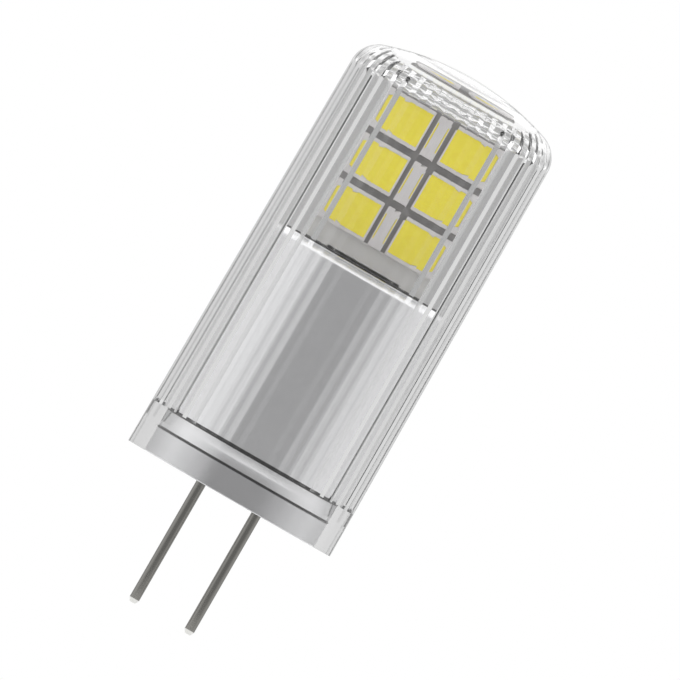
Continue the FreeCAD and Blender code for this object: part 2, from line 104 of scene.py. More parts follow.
class Wiring:
    """A node tree, with the calculations that materials and the world share."""

    def __init__(self, tree: NodeTree) -> None:
        """Takes over a tree."""
        self.tree = tree

    def node(self, kind: str, **settings: object) -> Node:
        """Adds a node.

        Args:
            kind: the node's type.
            settings: its properties.

        Returns:
            The new node.
        """
        made = self.tree.nodes.new(kind)
        for key, value in settings.items():
            setattr(made, key, value)
        return made

    def feed(self, target: Socket, value: object) -> None:
        """Fills an input.

        Args:
            target: the input.
            value: a number, a few numbers or another node's result.
        """
        if isinstance(value, NodeSocket):
            self.tree.links.new(value, target)
        else:
            target.default_value = value

    def calculate(self, operation: str, *values: Value) -> Socket:
        """Adds one calculation.

        Args:
            operation: its kind.
            values: its inputs in order.

        Returns:
            Its result.
        """
        made = self.node("ShaderNodeMath", operation=operation)
        for target, value in zip(made.inputs, values):
            self.feed(target, value)
        return made.outputs["Value"]

    def rise(self, value: Socket, low: float, high: float) -> Socket:
        """Rises smoothly from 0 at one value to 1 at another.

        Args:
            value: what is looked at.
            low: where the result is 0.
            high: where the result is 1, which may be the lower one.

        Returns:
            The result.
        """
        made = self.node("ShaderNodeMapRange", interpolation_type="SMOOTHSTEP")
        self.feed(made.inputs["Value"], value)
        self.feed(made.inputs["From Min"], low)
        self.feed(made.inputs["From Max"], high)
        return made.outputs["Result"]

    def mixed(self, share: Socket, first: Value, second: Value) -> Socket:
        """Number between two.

        Args:
            share: how much of the second is taken.
            first: the number at 0.
            second: the number at 1.

        Returns:
            The mixed number.
        """
        made = self.node("ShaderNodeMix")
        for key, value in (("Factor", share), ("A", first), ("B", second)):
            self.feed(made.inputs[key], value)
        return made.outputs["Result"]


class Paint(Wiring):
    """A material under construction round its Principled shader."""

    def __init__(self, name: str) -> None:
        """Starts an empty material with one shader.

        Args:
            name: the material's name.
        """
        self.material = bpy.data.materials.new(name)
        self.material.use_nodes = True
        super().__init__(self.material.node_tree)
        self.shader = self.tree.nodes["Principled BSDF"]
        self.places = self.node("ShaderNodeTexCoord").outputs["Object"]

    def set(self, **values: object) -> None:
        """Fills the shader's own sockets; an underscore stands for a space."""
        for key, value in values.items():
            self.feed(self.shader.inputs[key.replace("_", " ")], value)

    def along(self, axis: str) -> Socket:
        """Coordinate of the point that is shaded.

        Args:
            axis: X, Y or Z.

        Returns:
            The piece's own coordinate in metres.
        """
        split = self.node("ShaderNodeSeparateXYZ")
        self.feed(split.inputs["Vector"], self.places)
        return split.outputs[axis]

    def noise(
        self, scale: float, detail: float = 3.0, stretch: Point = (1, 1, 1)
    ) -> Socket:
        """Noise on the piece's own coordinates.

        Args:
            scale: cells per millimetre.
            detail: octaves of the noise.
            stretch: scale along each axis, for grain.

        Returns:
            The noise value from 0 to 1.
        """
        mapping = self.node("ShaderNodeMapping")
        self.feed(mapping.inputs["Scale"], stretch)
        self.feed(mapping.inputs["Vector"], self.places)
        texture = self.node("ShaderNodeTexNoise")
        self.feed(texture.inputs["Scale"], scale / MM)
        self.feed(texture.inputs["Detail"], detail)
        self.feed(texture.inputs["Vector"], mapping.outputs["Vector"])
        return texture.outputs["Fac"]

    def spread(self, source: Socket, low: float, high: float) -> Socket:
        """Maps the middle of a noise to a range.

        Args:
            source: a value around 0.5.
            low: the result at the lower end of the noise's middle.
            high: the result at the upper end.

        Returns:
            The mapped value.
        """
        remap = self.node("ShaderNodeMapRange")
        ranges = (*NOISE_MIDDLE, low, high)
        for key, value in zip(("From Min", "From Max", "To Min", "To Max"), ranges):
            self.feed(remap.inputs[key], value)
        self.feed(remap.inputs["Value"], source)
        return remap.outputs["Result"]

    def blend(
        self,
        share: Value,
        first: Colour | Socket,
        second: Colour | Socket,
        way: str = "MIX",
    ) -> Socket:
        """Colour from two.

        Args:
            share: how much of the second is taken.
            first: the colour at 0.
            second: the colour at 1.
            way: how the two are blended.

        Returns:
            The blended colour.
        """
        mix = self.node("ShaderNodeMix", data_type="RGBA", blend_type=way)
        self.feed(mix.inputs["Factor"], share)
        for key, colour in (("A", first), ("B", second)):
            plain = isinstance(colour, tuple)
            self.feed(mix.inputs[key], (*colour, 1) if plain else colour)
        return mix.outputs["Result"]

    def between(self, zones: tuple[Pair, ...]) -> Socket:
        """Tells whether a point lies in one of some zones of height.

        Args:
            zones: the lowest and highest height of each zone, of one at least.

        Returns:
            1 inside a zone and 0 elsewhere.
        """
        height = self.along("Z")
        inside: Value = 0.0
        for low, high in zones:
            middle, half = (low + high) / 2 * MM, (high - low) / 2 * MM
            zone = self.calculate("COMPARE", height, middle, half)
            inside = self.calculate("MAXIMUM", inside, zone)
        return inside

    def beyond(self, radius: float) -> Socket:
        """Tells whether a point is farther from the axis than a radius.

        Args:
            radius: the distance from the axis.

        Returns:
            1 outside the radius and 0 within it.
        """
        flat = self.node("ShaderNodeVectorMath", operation="MULTIPLY")
        self.feed(flat.inputs[0], self.places)
        self.feed(flat.inputs[1], (1.0, 1.0, 0.0))
        length = self.node("ShaderNodeVectorMath", operation="LENGTH")
        self.feed(length.inputs[0], flat.outputs["Vector"])
        return self.calculate("GREATER_THAN", length.outputs["Value"], radius * MM)

    def bump(self, source: Socket, height: float) -> None:
        """Raises the surface a little by a value.

        Args:
            source: the height, from 0 to 1.
            height: the height's full range.
        """
        made = self.node("ShaderNodeBump")
        self.feed(made.inputs["Distance"], height * MM)
        self.feed(made.inputs["Height"], source)
        self.set(Normal=made.outputs["Normal"])


def scaled(colour: Colour, factor: float) -> Colour:
    """A darker or paler copy of a colour."""
    red, green, blue = colour
    return (factor * red, factor * green, factor * blue)


@dataclass(frozen=True)
class ClearPlastic:
    """Clear moulded polycarbonate with a trace of haze."""

    tint: Colour = (0.98, 0.98, 0.98)
    shades: Pair = (0.985, 1.01)
    rough: Pair = (0.0, 0.006)
    cells: float = 0.8
    bend: float = 1.58

    def material(self) -> Material:
        """Makes the finish.

        Returns:
            The material.
        """
        paint = Paint("clear_polycarbonate")
        haze = paint.noise(self.cells)
        low, high = (scaled(self.tint, shade) for shade in self.shades)
        paint.set(
            Base_Color=paint.blend(haze, low, high),
            Roughness=paint.spread(haze, *self.rough),
            Transmission_Weight=1.0,
            IOR=self.bend,
        )
        return paint.material


@dataclass(frozen=True)
class SatinMetal:
    """Silvery metal with a faint grain round the axis, and painted shade without gloss.

    The painted shade of gaps lies at some heights, and everywhere beyond a radius.
    """

    name: str
    colour: Colour
    rough: float
    # Painted shade: the heights where it lies, the radius beyond which it lies, and its
    # colour.
    pale_coat_or_shade_zones: tuple[Pair, ...]
    shade_radius: float = 9.0
    dark: Colour = (0.03, 0.03, 0.03)
    cloud_shade: float = 0.94
    cloud_cells: float = 0.35
    grain_cells: float = 3.0
    grain_stretch: Point = (1, 1, 6)
    rough_range: Pair = (0.85, 1.15)
    relief: float = 0.0004

    def material(self) -> Material:
        """Makes the finish.

        Returns:
            The material.
        """
        paint = Paint(self.name)
        grain = paint.noise(self.grain_cells, 2.0, self.grain_stretch)
        cloud = paint.noise(self.cloud_cells)
        # Painted shade for the shadowed gaps: dark, without gloss and not metal.
        painted_shade = paint.calculate(
            "MAXIMUM", paint.between(self.pale_coat_or_shade_zones), paint.beyond(self.shade_radius)
        )
        plated = paint.blend(cloud, scaled(self.colour, self.cloud_shade), self.colour)
        low, high = (self.rough * part for part in self.rough_range)
        paint.set(
            Base_Color=paint.blend(painted_shade, plated, self.dark),
            Roughness=paint.spread(grain, low, high),
            Metallic=paint.calculate("SUBTRACT", 1.0, painted_shade),
            Specular_IOR_Level=0.0,
        )
        paint.bump(grain, self.relief)
        return paint.material


@dataclass(frozen=True)
class PinWire:
    """Plated wire, dark on the shank and bright on its dipped tip."""

    shank: Colour = (0.245, 0.24, 0.225)
    tip: Colour = (0.64, 0.64, 0.62)
    dip: Pair = (-8.43, -8.48)
    rough: Pair = (0.10, 0.16)
    grain_cells: float = 4.0
    grain_stretch: Point = (4, 4, 0.3)
    relief: float = 0.0002

    def material(self) -> Material:
        """Makes the finish.

        Returns:
            The material.
        """
        paint = Paint("plated_wire")
        above, below = self.dip
        dipped = paint.rise(paint.along("Z"), above * MM, below * MM)
        drawn = paint.noise(self.grain_cells, 2.0, self.grain_stretch)
        paint.set(
            Base_Color=paint.blend(dipped, self.shank, self.tip),
            Roughness=paint.spread(drawn, *self.rough),
            Metallic=1.0,
        )
        paint.bump(drawn, self.relief)
        return paint.material


@dataclass(frozen=True)
class Speckled:
    """Plain coated or moulded surface with fine colour variation and grain."""

    name: str
    low: Colour
    high: Colour
    rough: float
    cells: float
    relief: float
    metal: float = 0.0
    rough_range: Pair = (0.9, 1.1)
    fineness: float = 6.0

    def material(self) -> Material:
        """Makes the finish.

        Returns:
            The material.
        """
        paint = Paint(self.name)
        cloud = paint.noise(self.cells)
        grain = paint.noise(self.cells * self.fineness, 2.0)
        low, high = (self.rough * part for part in self.rough_range)
        paint.set(
            Base_Color=paint.blend(paint.spread(cloud, 0.0, 1.0), self.low, self.high),
            Roughness=paint.spread(grain, low, high),
            Metallic=self.metal,
        )
        paint.bump(grain, self.relief)
        return paint.material


@dataclass(frozen=True)
class BoardCoat:
    """Grey board: pale foot, painted shade above it, painted shadow at its lower edge.
    """

    # The board's own pale colour, on its foot.
    pale_coat_or_shade_zones: Colour = (0.73, 0.72, 0.70)
    # Painted shade above the split, for the shade in the gaps between the packages.
    between: Colour = (0.27, 0.26, 0.255)
    split: Pair = (18.19, 18.27)
    # Painted shadow line at the board's lower edge, over the sleeve's top.
    edge: Pair = (16.70, 16.85)
    shadow_line_colour: Colour = (0.06, 0.06, 0.06)
    cloud_cells: float = 1.2
    cloud_shade: Colour = (0.93, 0.93, 0.93)
    grain_cells: float = 8.0
    rough: Pair = (0.38, 0.5)
    relief: float = 0.002

    def material(self) -> Material:
        """Makes the finish.

        Returns:
            The material.
        """
        paint = Paint("board_coat")
        low, high = self.split
        # Painted shade above the split, then a painted shadow line at the lower edge.
        upper = paint.rise(paint.along("Z"), low * MM, high * MM)
        coat_and_shade = paint.blend(upper, self.pale_coat_or_shade_zones, self.between)
        coat_and_shade = paint.blend(paint.between((self.edge,)), coat_and_shade, self.shadow_line_colour)
        cloud = paint.noise(self.cloud_cells)
        shade = paint.blend(cloud, self.cloud_shade, (1.0, 1.0, 1.0))
        grain = paint.noise(self.grain_cells, 2.0)
        paint.set(
            Base_Color=paint.blend(1.0, coat_and_shade, shade, "MULTIPLY"),
            Roughness=paint.spread(grain, *self.rough),
        )
        paint.bump(grain, self.relief)
        return paint.material


@dataclass(frozen=True)
class EndCapped:
    """Chip or moulding with bright tinned ends beyond a distance from its middle."""

    name: str
    body: Colour
    middle: float
    half: float
    tin: Colour = (0.72, 0.72, 0.73)
    rough: Pair = (0.4, 0.55)
    grain_cells: float = 6.0
    relief: float = 0.003

    def material(self) -> Material:
        """Makes the finish.

        Returns:
            The material.
        """
        paint = Paint(self.name)
        shift = paint.calculate("SUBTRACT", paint.along("X"), self.middle * MM)
        away = paint.calculate("ABSOLUTE", shift)
        tinned = paint.calculate("GREATER_THAN", away, self.half * MM)
        grain = paint.noise(self.grain_cells)
        paint.set(
            Base_Color=paint.blend(tinned, self.body, self.tin),
            Roughness=paint.spread(grain, *self.rough),
            Metallic=tinned,
        )
        paint.bump(grain, self.relief)
        return paint.material


def spun(bm: BMesh, profile: Profile, steps: int, closed: bool) -> None:
    """Turns a profile about the lamp's axis.

    Args:
        bm: the mesh that gets the shape.
        profile: (radius, height) points.
        steps: segments round the axis.
        closed: whether the profile's last point joins its first.
    """
    verts = [bm.verts.new((0.0, -radius, height)) for radius, height in profile]
    edges = [bm.edges.new(pair) for pair in zip(verts, verts[1:])]
    if closed:
        edges.append(bm.edges.new((verts[-1], verts[0])))
    bmesh.ops.spin(
        bm, geom=verts + edges, cent=(0, 0, 0), axis=(0, 0, 1), dvec=(0, 0, 0),
        angle=2 * math.pi, steps=steps, use_merge=True, use_duplicate=False,
    )


def around(centre: Pair, radius: float, turn: float) -> Pair:
    """Point of a circle in a profile, at a turn in degrees from straight outwards."""
    turned = math.radians(turn)
    return (
        centre[0] + radius * math.cos(turned), centre[1] + radius * math.sin(turned)
    )


def arc(centre: Pair, radius: float, start: float, end: float, steps: int) -> Profile:
    """Points of an arc.

    Args:
        centre: its centre, as (radius, height).
        radius: its own radius.
        start: the first angle in degrees.
        end: the last angle in degrees.
        steps: the number of chords.

    Returns:
        steps + 1 points.
    """
    turns = [start + (end - start) * number / steps for number in range(steps + 1)]
    return [around(centre, radius, turn) for turn in turns]


def block(bm: BMesh, low: Point, high: Point) -> None:
    """Adds a box between two corners.

    Args:
        bm: the mesh that gets the box.
        low: its lowest corner.
        high: its highest corner.
    """
    lo, hi = Vector(low), Vector(high)
    place = Matrix.Translation((lo + hi) / 2) @ Matrix.Diagonal((*(hi - lo), 1))
    bmesh.ops.create_cube(bm, size=1.0, matrix=place)


def rod(across: float, radius: float, low: float, high: float) -> BMesh:
    """Makes an upright closed cylinder beside the axis.

    Args:
        across: its place, to the right of the axis.
        radius: its radius.
        low: the height of its lower end.
        high: the height of its upper end.

    Returns:
        Its mesh.
    """
    bm = bmesh.new()
    place = Matrix.Translation((across, 0, (low + high) / 2))
    bmesh.ops.create_cone(
        bm, cap_ends=True, segments=64, radius1=radius, radius2=radius,
        depth=high - low, matrix=place,
    )
    return bm


def slab(bm: BMesh, outline: Profile, foot: float, height: float) -> BMFace:
    """Adds a flat slab.

    Args:
        bm: the mesh that gets the slab.
        outline: its corners in the plane.
        foot: the level of its lower face.
        height: its thickness.

    Returns:
        Its upper face.
    """
    base = bm.faces.new([bm.verts.new((x, y, foot)) for x, y in outline])
    grown = bmesh.ops.extrude_face_region(bm, geom=[base], use_keep_orig=True)["geom"]
    lid = next(item for item in grown if isinstance(item, BMFace))
    bmesh.ops.translate(bm, vec=(0, 0, height), verts=lid.verts)
    return lid


def soften(bm: BMesh, edges: list[BMEdge], width: float) -> None:
    """Rounds some edges a little.

    Args:
        bm: the mesh.
        edges: its edges to round.
        width: how far the round reaches.
    """
    bmesh.ops.bevel(
        bm, geom=edges, offset=width, segments=2, profile=0.5, affect="EDGES",
        material=-1,
    )


def tidy(bm: BMesh) -> None:
    """Merges doubles and turns every face outwards."""
    bmesh.ops.remove_doubles(bm, verts=bm.verts, dist=WELD)
    bmesh.ops.recalc_face_normals(bm, faces=bm.faces)


def mesh_of(bm: BMesh, name: str, crease: float) -> Mesh:
    """Brings a mesh to metres, with sharp edges where its faces meet at an angle.

    Args:
        bm: the mesh in millimetres, which is freed.
        name: the new mesh's name.
        crease: the least angle of a sharp edge in degrees.

    Returns:
        The finished mesh.
    """
    bmesh.ops.scale(bm, vec=(MM, MM, MM), verts=bm.verts)
    for face in bm.faces:
        face.smooth = True
    sharp = math.radians(crease)
    for edge in bm.edges:
        edge.smooth = edge.is_manifold and edge.calc_face_angle(0.0) < sharp
    mesh = bpy.data.meshes.new(name)
    bm.to_mesh(mesh)
    bm.free()
    return mesh


def placed(name: str, data: ID) -> Object:
    """Puts a new object into the scene.

    Args:
        name: its name.
        data: its mesh, lamp or camera.

    Returns:
        The object.
    """
    made = bpy.data.objects.new(name, data)
    bpy.context.scene.collection.objects.link(made)
    return made


def combined(target: BMesh, tool: BMesh, work: Work) -> BMesh:
    """Cuts or joins two closed meshes.

    Args:
        target: the mesh that is changed, which is freed.
        tool: the cutter or addition, which is freed.
        work: whether the tool is cut away or added.

    Returns:
        The result as a new mesh.
    """
    pair = []
    for source in (target, tool):
        mesh = bpy.data.meshes.new("work")
        source.to_mesh(mesh)
        source.free()
        pair.append(placed("work", mesh))
    modifier = pair[0].modifiers.new("cut", "BOOLEAN")
    modifier.operation = work.value
    modifier.solver = "EXACT"
    modifier.object = pair[1]
    bpy.context.view_layer.update()
    held = pair[0].evaluated_get(bpy.context.evaluated_depsgraph_get())
    result = bmesh.new()
    result.from_mesh(held.to_mesh())
    held.to_mesh_clear()
    for made in pair:
        mesh = made.data
        bpy.data.objects.remove(made)
        bpy.data.meshes.remove(mesh)
    return result


def piece(
    bm: BMesh,
    name: str,
    material: Material,
    nodes: tuple[str, ...],
    crease: float = 25.0,
) -> Object:
    """Makes a finished piece that rides on the lamp's body.

    Args:
        bm: its mesh in millimetres, which is freed.
        name: its name.
        material: its finish.
        nodes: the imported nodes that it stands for.
        crease: the least angle of a sharp edge in degrees.

    Returns:
        The new object.
    """
    mesh = mesh_of(bm, name, crease)
    mesh.materials.append(material)
    made = placed(name, mesh)
    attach(made, BODY)
    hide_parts(*nodes)
    LOG.info("%s: %d faces", name, len(mesh.polygons))
    return made


@dataclass
class Jacket:
    """Clear moulded jacket: smooth outside, and a bore of flat-sided grooves inside."""

    finish: ClearPlastic
    mouth_radius: float = 7.33
    dome_edge: float = 7.12
    top: float = 30.57
    dome_radius: float = 18.0
    shoulder: float = 1.95
    side_heights: tuple[float, ...] = (0.0, 7.0, 14.0, 21.0)
    shoulder_steps: int = 24
    dome_steps: int = 12
    outer_steps: int = 384
    seat_radius: float = 6.28
    seat_height: float = 1.70
    relief: float = 0.10
    seat_top: float = 1.79
    bore_foot: float = 5.50
    bore_head: float = 5.43
    step: float = 3.0
    groove_top: float = 27.47
    grooves: int = 43
    groove_depth: float = 0.055
    land: float = 0.05
    ceiling_round: float = 2.0
    round_depth: float = 0.04
    grooved_turn: float = 32.0
    grooved_steps: int = 4
    smooth_steps: int = 16
    recess: Level = (6.42, 0.6, 2.06, 3.28)
    crease: float = 5.5

    def outer_profile(self) -> Profile:
        """Shapes the outside, with a shoulder that touches the side and the dome.

        Returns:
            Side, shoulder round and dome, from the mouth up to the pole.
        """
        drop = self.top - self.dome_radius
        edge_height = drop + math.sqrt(self.dome_radius**2 - self.dome_edge**2)
        lean = (self.mouth_radius - self.dome_edge) / edge_height
        reach = self.dome_radius - self.shoulder
        across = self.mouth_radius - self.shoulder * math.sqrt(1 + lean**2)
        # The shoulder's centre is as far from the side as from the dome, which
        # makes its height above the dome's centre the root of a quadratic.
        a, b = 1 + lean**2, -2 * (lean * (across - lean * drop))
        c = (across - lean * drop) ** 2 - reach**2
        rise = (-b + math.sqrt(b**2 - 4 * a * c)) / (2 * a)
        centre = (across - lean * (rise + drop), rise + drop)
        low = math.degrees(math.atan(lean))
        high = math.degrees(math.atan2(rise, centre[0]))
        side = [(self.mouth_radius - lean * z, z) for z in self.side_heights]
        shoulder = arc(centre, self.shoulder, low, high, self.shoulder_steps)
        dome = arc((0.0, drop), self.dome_radius, high, 90.0, self.dome_steps)
        return side + shoulder + dome[1:]

    def bore_levels(self) -> list[Level]:
        """Shapes the bore along a ridge and along a valley.

        Returns:
            Ridge radius and height, then valley radius and height, from the mouth up.
        """
        seat = [
            (self.seat_radius, 0.0),
            (self.seat_radius, self.seat_height),
            (self.seat_radius + self.relief, self.seat_height),
            (self.seat_radius + self.relief, self.seat_top),
            (self.seat_radius, self.seat_top),
            (self.seat_radius, self.step),
        ]
        levels = [(*point, *point) for point in seat]
        depth = self.groove_depth
        levels.append((self.bore_foot, self.step, self.bore_foot + depth, self.step))
        centre = (self.bore_head - self.ceiling_round, self.groove_top)
        bend, edge = self.ceiling_round, self.grooved_turn
        grooved = arc(centre, bend, 0.0, edge, self.grooved_steps)
        smooth = arc(centre, bend, edge, 90.0, self.smooth_steps)
        ridge = grooved + smooth[1:]
        valley = [(self.bore_head + depth, self.groove_top)]
        for number in range(1, self.grooved_steps):
            share = (number + 0.5) / (self.grooved_steps + 0.5)
            reach = bend + depth + self.round_depth * math.sin(math.pi * share)
            valley.append(around(centre, reach, edge * share))
        valley += smooth
        levels += [(*inner, *outer) for inner, outer in zip(ridge, valley)]
        return levels

    def bore(self, bm: BMesh) -> None:
        """Repeats one groove and its land round the axis, under a flat ceiling.

        Args:
            bm: the empty mesh that gets the bore.
        """
        levels = self.bore_levels()
        pitch = 2 * math.pi / self.grooves
        half_land = self.land / (2 * self.bore_foot)
        column = [bm.verts.new(self.polar(v, z, 0.0)) for _, _, v, z in levels]
        chain = [bm.edges.new(pair) for pair in zip(column, column[1:])]
        turns = (
            (pitch / 2 - half_land, True),
            (pitch / 2 + half_land, True),
            (pitch, False),
        )
        for turn, ridge in turns:
            grown = bmesh.ops.extrude_edge_only(bm, edges=chain)["geom"]
            chain = [item for item in grown if isinstance(item, BMEdge)]
            verts = [item for item in grown if isinstance(item, BMVert)]
            for vert, level in zip(verts, levels):
                radius, height = level[:2] if ridge else level[2:]
                vert.co = self.polar(radius, height, turn)
        bmesh.ops.spin(
            bm, geom=bm.verts[:] + bm.edges[:] + bm.faces[:], cent=(0, 0, 0),
            axis=(0, 0, 1), dvec=(0, 0, 0), angle=2 * math.pi - pitch,
            steps=self.grooves - 1, use_merge=False, use_duplicate=True,
        )
        bmesh.ops.remove_doubles(bm, verts=bm.verts, dist=WELD)
        ceiling = levels[-1][1] - SLACK
        rim = [
            e for e in bm.edges
            if e.is_boundary and min(v.co.z for v in e.verts) > ceiling
        ]
        bmesh.ops.holes_fill(bm, edges=rim, sides=0)

    @staticmethod
    def polar(radius: float, height: float, turn: float) -> Point:
        """Point at a turn from the front of the lamp."""
        return (radius * math.sin(turn), -radius * math.cos(turn), height)

    def build(self) -> Object:
        """Closes outside and bore to one shell, and cuts the two latch recesses.

        Returns:
            The jacket.
        """
        bm = bmesh.new()
        self.bore(bm)
        inner_mouth = [e for e in bm.edges if e.is_boundary]
        outer = bmesh.new()
        spun(outer, self.outer_profile(), self.outer_steps, closed=False)
        bmesh.ops.remove_doubles(outer, verts=outer.verts, dist=WELD)
        work = bpy.data.meshes.new("work")
        outer.to_mesh(work)
        outer.free()
        bm.from_mesh(work)
        bpy.data.meshes.remove(work)
        known = set(inner_mouth)
        outer_mouth = [e for e in bm.edges if e.is_boundary and e not in known]
        bmesh.ops.bridge_loops(bm, edges=inner_mouth + outer_mouth)
        tidy(bm)
        reach, half, low, high = self.recess
        tool = bmesh.new()
        block(tool, (-reach, -half, low), (reach, half, high))
        bm = combined(bm, tool, Work.CUT)
        return piece(
            bm, "clear_jacket", self.finish.material(), ("jacket",),
            self.crease,
        )


@dataclass
class CoreSleeve:
    """Closed-top sleeve on a collar, with a rounded rim, a slot and two latch lugs.

    Under the collar is a thin flange, and an undercut ring parts it from the sleeve.
    """

    finish: SatinMetal
    radius: float = 5.35
    inside: float = 4.65
    top: float = 16.77
    lid: float = 0.8
    crown: float = 0.75
    crown_steps: int = 40
    flange: tuple[float, float, float] = (6.2, 1.705, 1.79)
    collar: tuple[Pair, ...] = ((5.95, 2.28), (5.93, 2.40), (5.89, 2.89))
    undercut: Pair = (5.2, 3.13)
    slot: Pair = (2.55, 0.45)
    slot_past: float = 0.3
    lug: Level = (6.36, 0.54, 2.12, 3.22)
    steps: int = 256
    crease: float = 12.0

    def profile(self) -> Profile:
        """Shapes the sleeve, from the flange's inner edge round to the lid's.

        Returns:
            Its closed profile.
        """
        flange_radius, flange_foot, flange_top = self.flange
        neck, neck_high = self.undercut
        neck_low = self.collar[-1][1]
        across = self.radius - self.crown
        rim = [
            (across + self.crown * c, self.top - self.crown + self.crown * s)
            for c, s in arc((0.0, 0.0), 1.0, 0.0, 90.0, self.crown_steps)
        ]
        return [
            (self.inside, flange_foot),
            (flange_radius, flange_foot),
            (flange_radius, flange_top),
            (self.collar[0][0], flange_top),
            *self.collar,
            (neck, neck_low),
            (neck, neck_high),
            (self.radius, neck_high),
            *rim,
            (0.0, self.top),
            (0.0, self.top - self.lid),
            (self.inside, self.top - self.lid),
        ]

    def build(self) -> Object:
        """Turns the profile, adds the lugs and cuts the slot.

        Returns:
            The sleeve.
        """
        bm = bmesh.new()
        spun(bm, self.profile(), self.steps, closed=True)
        tidy(bm)
        lugs = bmesh.new()
        reach, half, low, high = self.lug
        root = (self.radius + self.inside) / 2
        block(lugs, (root, -half, low), (reach, half, high))
        block(lugs, (-reach, -half, low), (-root, half, high))
        bm = combined(bm, lugs, Work.ADD)
        slot = bmesh.new()
        wide, deep = self.slot
        foot, head = self.top - self.lid - self.slot_past, self.top + self.slot_past
        block(slot, (-wide, -deep, foot), (wide, deep, head))
        bm = combined(bm, slot, Work.CUT)
        return piece(
            bm, "silver_sleeve", self.finish.material(), ("core_sleeve",),
            self.crease,
        )


@dataclass
class BaseCap:
    """Disc that closes the jacket's mouth, with a hole and a boss for each pin."""

    finish: SatinMetal
    radius: float = 6.25
    thickness: float = 1.7
    ring: tuple[float, float, float] = (3.8, 4.6, 2.9)
    boss: Pair = (0.9, 2.3)
    hole: float = 0.515
    overlap: float = 1.0
    spread: float = 2.0
    chamfer: float = 0.04
    steps: int = 256
    crease: float = 30.0

    def build(self) -> Object:
        """Turns the disc with its locating ring, adds the bosses and bores them.

        Returns:
            The cap.
        """
        bm = bmesh.new()
        inner, outer, top = self.ring
        edge, high = self.radius - self.chamfer, self.thickness
        profile = [
            (0.0, 0.0),
            (edge, 0.0),
            (self.radius, self.chamfer),
            (self.radius, high - self.chamfer),
            (edge, high),
            (outer, high),
            (outer, top),
            (inner, top),
            (inner, high),
            (0.0, high),
        ]
        spun(bm, profile, self.steps, closed=True)
        tidy(bm)
        boss_radius, boss_top = self.boss
        for hand in Hand:
            across = hand.value * self.spread
            boss = rod(across, boss_radius, self.overlap, boss_top)
            hole = rod(across, self.hole, -self.overlap, boss_top + self.overlap)
            bm = combined(bm, boss, Work.ADD)
            bm = combined(bm, hole, Work.CUT)
        return piece(
            bm, "base_disc", self.finish.material(), ("base_cap",), self.crease
        )


@dataclass
class ContactPins:
    """Two plated wires with coned, slightly rounded tips, riveted into the base cap."""

    finish: PinWire
    spread: float = 2.0
    radius: float = 0.335
    tip: float = -8.73
    tip_height: float = 0.28
    tip_radius: float = 0.215
    tip_edge: float = 0.05
    tip_turns: Pair = (-90.0, -25.0)
    tip_steps: int = 4
    cone_edge: Pair = (0.006, 0.02)
    shank: float = 0.5
    boss_top: float = 2.3
    collar: Pair = (0.7, 2.6)
    tail: Pair = (0.3, 5.4)
    steps: int = 96

    def profile(self) -> Profile:
        """Shapes one pin.

        Returns:
            Its profile, from the tip up.
        """
        collar_radius, collar_top = self.collar
        tail_radius, tail_top = self.tail
        centre = (self.tip_radius - self.tip_edge, self.tip + self.tip_edge)
        inset, half = self.cone_edge
        cone_top = self.tip + self.tip_height
        return [
            (0.0, self.tip),
            *arc(centre, self.tip_edge, *self.tip_turns, self.tip_steps),
            (self.radius - inset, cone_top - half),
            (self.radius, cone_top + half),
            (self.radius, 0.0),
            (self.shank, 0.0),
            (self.shank, self.boss_top),
            (collar_radius, self.boss_top),
            (collar_radius, collar_top),
            (tail_radius, collar_top),
            (tail_radius, tail_top),
            (0.0, tail_top),
        ]

    def build(self) -> list[Object]:
        """Turns both pins from the one profile.

        Returns:
            The pins.
        """
        material = self.finish.material()
        made = []
        for hand in Hand:
            bm = bmesh.new()
            spun(bm, self.profile(), self.steps, closed=False)
            tidy(bm)
            shift = (hand.value * self.spread, 0, 0)
            bmesh.ops.translate(bm, vec=shift, verts=bm.verts)
            side = hand.name.lower()
            nodes = (f"contact_pin_{side}",)
            made.append(piece(bm, f"pin_wire_{side}", material, nodes))
        return made


